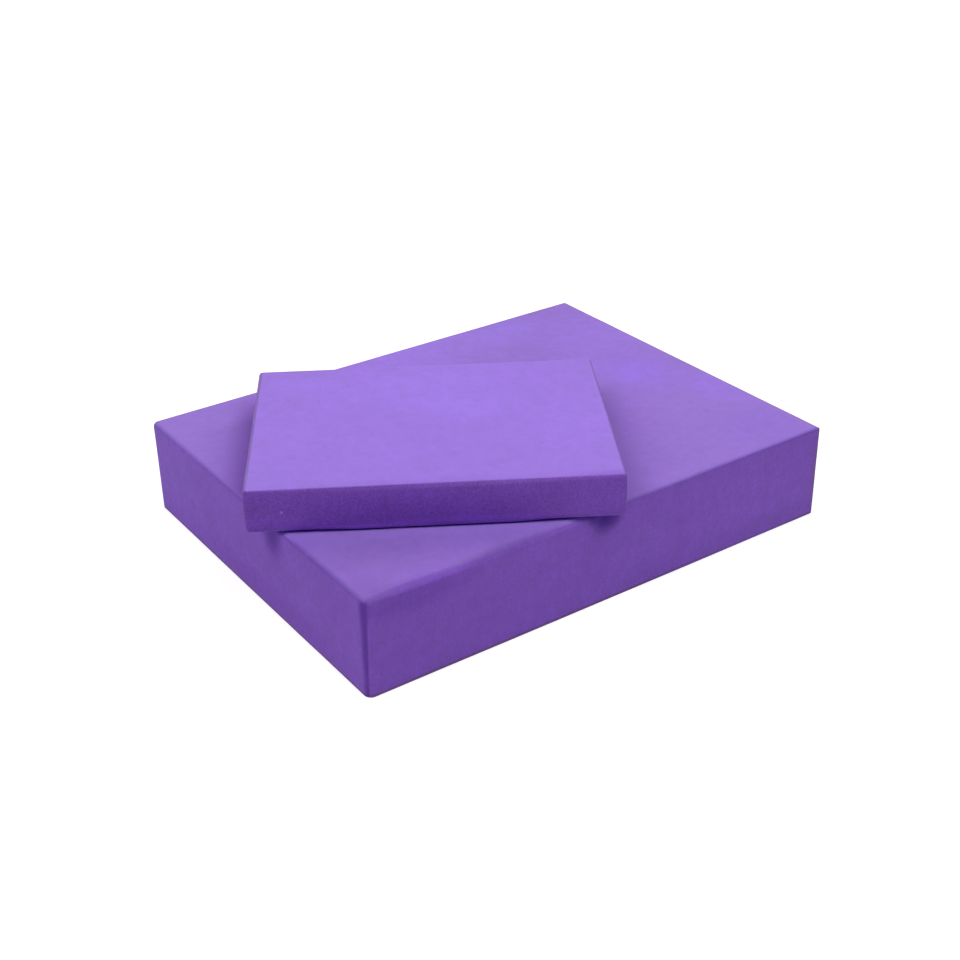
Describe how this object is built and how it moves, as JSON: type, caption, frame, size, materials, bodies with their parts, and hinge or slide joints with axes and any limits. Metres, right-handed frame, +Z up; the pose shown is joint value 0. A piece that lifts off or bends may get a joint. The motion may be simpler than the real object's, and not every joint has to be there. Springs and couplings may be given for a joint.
{
  "type": "pilates block",
  "caption": "Large rectangular foam sitting block with a smaller, thinner foam head block lying turned on its top face; the head block lifts off.",
  "frame": {"origin": "middle of the sitting block's underside, where it stands on the floor", "axes": "+X along the sitting block's long side, +Y along its short side, +Z up out of the floor"},
  "size_m": [0.3145, 0.2452, 0.0818],
  "materials": {
    "sitting_foam": "matte",
    "head_foam": "matte"
  },
  "bodies": {
    "sitting_block": {"sitting_block": "sitting_foam"},
    "head_block": {"head_block": "head_foam"}
  },
  "joints": [
    {"name": "head_block_lift", "type": "slide", "parent": "sitting_block", "child": "head_block", "axis": [0, 0, 1], "range_m": [0, 0.12]}
  ]
}
